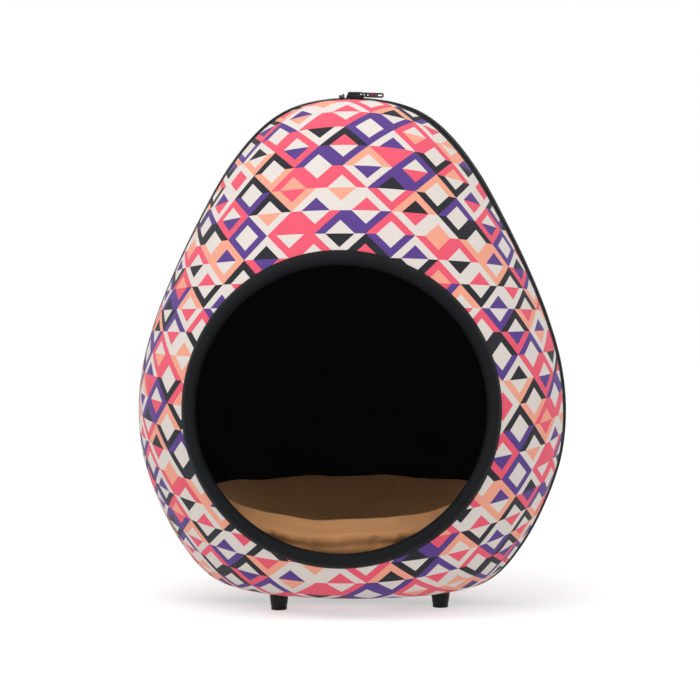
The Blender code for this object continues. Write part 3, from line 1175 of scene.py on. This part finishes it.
def pull():
    middle = PULL_SIZE.x / 2
    frame_plate = rounded_plate("pull", *PULL_SIZE, (middle, 0, 0), corner=0.0028)
    deselect_all()
    bpy.ops.mesh.primitive_cylinder_add(vertices=32, radius=PULL_HOLE[1], depth=0.01,
                                        location=(PULL_HOLE[0], 0, 0))
    carve(frame_plate, settle(bpy.context.object))
    at, length, width = PULL_SLOT
    carve(frame_plate, rounded_plate("slot", length, width, 0.01, (at, 0, 0), corner=0.0014))
    at, length, width = INLAY
    face = PULL_SIZE.z / 2
    carve(frame_plate, rounded_plate("bed", length, width, 0.001, (at, 0, face + 0.00025),
                                     corner=0.0012))
    modify(frame_plate, "BEVEL", width=0.0002, segments=2, limit_method="ANGLE")
    inlay = rounded_plate("zip_pull_inlay", length - INLAY_PLAY, width - INLAY_PLAY, 0.0003,
                          (at, 0, face - 0.0001), corner=0.0011)
    modify(inlay, "BEVEL", width=0.0001, segments=2, limit_method="ANGLE")
    return smooth(frame_plate, 35), smooth(inlay, 35)


hook_place = Matrix.Translation((SLIDER_SIZE.x / 2 + 2 * GAP, 0, LIFT))
hang = seat @ hook_place @ Matrix.Rotation(PULL_DROOP, 4, "Y") @ Matrix.Rotation(PULL_ROLL, 4, "X")
pull_plate, inlay = pull()
pull_plate.name = "zip_pull_frame"
dress(at_seat(pull_plate, hang), METAL)
dress(at_seat(inlay, hang), ENAMEL)
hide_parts("zip_pull")

deselect_all()
bpy.ops.mesh.primitive_torus_add(major_radius=0.0020, minor_radius=0.0008, major_segments=32,
                                 minor_segments=12, rotation=(math.radians(90), 0, 0),
                                 location=(0.0001, 0, 0.0004))
ring = bpy.context.object
ring.name = "zip_pull_ring"
settle(ring)
dress(smooth(at_seat(ring, hang), 60), METAL)

# %% Stop
STOP_X = -0.0086


def stop():
    clip = block("zip_stop_clip", size=(0.0056, 0.0078, 0.0038), place=(0, 0, 0.0008),
                 soft=0.0006, segments=3)
    carve(clip, block("fold", size=(0.0009, 0.0100, 0.0010), place=(0.0004, 0, 0.0028),
                      soft=0.0003))
    knob = block("knob", size=(0.0019, 0.0052, 0.0022), place=(0.0017, 0, 0.0026), soft=0.0006,
                 segments=3)
    return smooth(join("zip_stop_clip", clip, knob), 35)


clip = dress(at_seat(stop(), crown_seat(STOP_X)), PALE_METAL)
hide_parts("zip_stop")

# %% [markdown]
# ## Feet
#
# Four moulded feet hold the cabin off the ground. Each is round and widens upwards, with a
# rubber ring round its sole and a collar under the shell. It is turned from one line, like the
# egg, and its top is cut to the belly's curve.

# %% Feet
FOOT_SPACING = (0.0830, 0.0700)
FOOT_TURN = math.radians(10.6)
FOOT_TURNS = 64
FOOT_LINE = [
    (0.0000, 0.0004), (0.0056, 0.0004), (0.0062, 0.0000), (0.0074, 0.0002), (0.0080, 0.0010),
    (0.0081, 0.0028), (0.0078, 0.0034), (0.0079, 0.0040), (0.0083, 0.0048), (0.0090, 0.0100),
    (0.0098, 0.0160), (0.0106, 0.0205), (0.0114, 0.0240), (0.0121, 0.0280), (0.0122, 0.0340),
    (0.0000, 0.0340),
]


def foot_plastic():
    plastic = mottled("foot_plastic", 90, (0.0025, 0.0025, 0.0030, 1),
                      (0.0060, 0.0060, 0.0070, 1), {"Specular IOR Level": 0.2})
    plastic.set("Roughness", 0.38 + plastic.cloud(200) * 0.2)
    plastic.relief(plastic.cloud(1800), 0.00012, 0.5)
    return plastic


FOOT_PLASTIC = foot_plastic()
FEET = {"foot_front_left": (-1, -1), "foot_front_right": (1, -1),
        "foot_back_right": (1, 1), "foot_back_left": (-1, 1)}
for name, (side, way) in FEET.items():
    line = [Vector(point) for point in reversed(FOOT_LINE)]
    foot = turned(name + "_turned", line, FOOT_TURNS)
    corner = Vector((side * FOOT_SPACING[0], way * FOOT_SPACING[1], 0))
    foot.location = Matrix.Rotation(FOOT_TURN, 3, "Z") @ corner + Vector((0, AXIS_Y, 0))
    settle(foot)
    carve(foot, egg("belly", -GAP, coarser=3))
    dress(smooth(foot, 35), FOOT_PLASTIC)
    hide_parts(name)

# %% [markdown]
# ## The cushion
#
# The cushion is a filled round pad with a dish in its top and a puffed rim that dips at the
# mouth. Filling shows as cloth that is pushed out evenly and held back by its seams. So a copy of
# the solid is meshed finely and blown up a little by a cloth simulation, and only then are the
# sewn seam round the rim, its puckers and the pinched folds in front pressed in.

# %% Filling the cushion
VOXEL = 0.0048
START_SIZE = 0.988  # the pad swells, so it starts a little smaller
PRESSURE = 4
FRAMES = 20
MOST_SWELL = 0.0055


def filled(name):
    pad = only(in_scene(name, frame["nodes"]["cushion"].data.copy()))
    bpy.ops.object.mode_set(mode="EDIT")
    bpy.ops.mesh.select_all(action="SELECT")
    bpy.ops.mesh.remove_doubles(threshold=1e-5)
    bpy.ops.object.mode_set(mode="OBJECT")
    points = points_of(pad)
    middle = (points.min(axis=0) + points.max(axis=0)) / 2
    move_points(pad, middle + (points - middle) * START_SIZE)
    pad.data.remesh_voxel_size = VOXEL
    bpy.ops.object.voxel_remesh()
    modify(pad, "SMOOTH", factor=0.5, iterations=6)
    bpy.ops.object.modifier_add(type="CLOTH")
    cloth = pad.modifiers[-1]
    cloth.settings.use_pressure = True
    cloth.settings.uniform_pressure_force = PRESSURE
    cloth.settings.effector_weights.gravity = 0
    before = points_of(pad)
    for step in range(1, FRAMES + 1):
        scene.frame_set(step)
    bpy.ops.object.modifier_apply(modifier=cloth.name)
    scene.frame_set(1)
    swell = points_of(pad) - before
    far = np.linalg.norm(swell, axis=1)
    swell *= (np.minimum(far, MOST_SWELL) / np.maximum(far, 1e-9))[:, None]
    move_points(pad, before + swell)
    print("cushion swells by", round(1000 * float(far.max()), 1), "mm before the cap")
    return pad


# %% Sewing and seating the cushion
CREST = (0.1235, 0.034)  # height of the rim behind, and how much lower it is in front
SEAM_DROP = 0.0165  # the seam lies this far below the crest
SEAM_PRESS = 0.0026  # how deep the seam is pressed in, and half its height
PUCKERS = 74  # round the whole rim
PUCKER_DEPTH = 0.0008
PUCKER_REACH = 0.009  # how far a pucker runs above and below the seam
RIM_RADIUS = 0.140
PINCHES = [(0.20, 0.0030, 0.050), (0.07, 0.0016, 0.040), (-0.42, 0.0014, 0.050),
           (0.62, 0.0016, 0.045)]  # turn from the front, depth, width
CUSHION_ROOM = WALL + 0.0008


def sewn(pad):
    """Press in the seam round the rim, with puckers across it and pinched folds."""
    points = points_of(pad)
    radius = from_axis(points)
    turn = np.arctan2(points[:, 0], -(points[:, 1] - AXIS_Y) / DEPTH_RATIO)
    crest = CREST[0] - CREST[1] * np.maximum(0, np.cos(turn)) ** 2
    below = points[:, 2] - (crest - SEAM_DROP)
    outside = np.clip((radius - RIM_RADIUS) / 0.012, 0, 1)
    puckers = np.sin(turn * PUCKERS + 3 * uneven(points, 30))
    depth = SEAM_PRESS * np.exp(-(below / SEAM_PRESS) ** 2)
    depth += PUCKER_DEPTH * puckers * np.exp(-(below / PUCKER_REACH) ** 2)
    for at, deep, wide in PINCHES:
        fold = np.exp(-((turn - at) / wide) ** 2 - ((below - 0.002) / 0.007) ** 2)
        bulge = np.exp(-((np.abs(turn - at) - 1.8 * wide) / wide) ** 2
                       - ((below - 0.004) / 0.010) ** 2)
        depth += deep * fold - 0.35 * deep * bulge
    ways = np.stack([points[:, 0], points[:, 1] - AXIS_Y, np.zeros(len(points))], axis=1)
    ways /= np.maximum(np.linalg.norm(ways, axis=1), 1e-6)[:, None]
    points -= ways * (depth * outside)[:, None]
    top = np.clip((points[:, 2] - 0.060) / 0.01, 0, 1)
    creases = np.sin(turn * 9 + 2.5 * uneven(points, 14)) * np.clip(radius / 0.15, 0, 1) ** 2
    points[:, 2] += top * (0.0012 * uneven(points, 16) + 0.0009 * creases)
    move_points(pad, points)


def seated(pad):
    """Keep the cushion off the lining, beside it and below."""
    points = points_of(pad)
    room = inset(EGG, CUSHION_ROOM)
    limit = radius_at(room, points[:, 2])
    radius = from_axis(points)
    share = np.minimum(1, limit / np.maximum(radius, 1e-6))
    low = [p for p in reversed(room) if p.y < 0.1]
    floor = np.interp(radius * share, [p.x for p in low], [p.y for p in low])
    points[:, 0] *= share
    points[:, 1] = AXIS_Y + (points[:, 1] - AXIS_Y) * share
    points[:, 2] = np.maximum(points[:, 2], floor)
    move_points(pad, points)


def cushion_cloth():
    cloth = Finish("cushion_cloth", {"Sheen Weight": 0.25, "Sheen Roughness": 0.5,
                                     "Sheen Tint": (1.0, 0.72, 0.45, 1)})
    blotch = cloth.cloud(16)
    tan = cloth.mix(blotch, (0.320, 0.136, 0.042, 1), (0.460, 0.212, 0.078, 1))
    x, y, z = cloth.parts(cloth.object_place())
    weave = (x + z * 0.4).wave(0.0017) * (y + z * 0.8).wave(0.0017)
    cloth.set("Base Color", cloth.shade(tan, 0.93 + weave * 0.05 + cloth.cloud(700) * 0.14))
    cloth.set("Roughness", 0.78 + blotch * 0.12)
    cloth.relief(weave + cloth.cloud(500), 0.0003, 0.7)
    return cloth


pad = filled("cushion_filled")
modify(pad, "SUBSURF", levels=1, render_levels=1)
sewn(pad)
seated(pad)
dress(smooth(pad, 180), cushion_cloth())
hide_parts("cushion")

# %% [markdown]
# ## The floor
#
# The cabin stands on a plain pale floor in a white room. The floor isn't part of the object. It
# glows a little, so that the cabin's shadow on it stays as faint as in the picture.

# %% Floor
def pale_floor():
    floor_paint = Finish("pale_floor", {"Roughness": 0.9, "Specular IOR Level": 0.0,
                                        "Base Color": (0.5, 0.5, 0.5, 1),
                                        "Emission Color": (1, 1, 1, 1),
                                        "Emission Strength": 0.52})
    deselect_all()
    bpy.ops.mesh.primitive_plane_add(size=60, location=(0, 0, CAD_BOX[0].z))
    floor = bpy.context.object
    floor.name = "floor"
    settle(floor)
    floor.data.materials.append(floor_paint.material)


pale_floor()
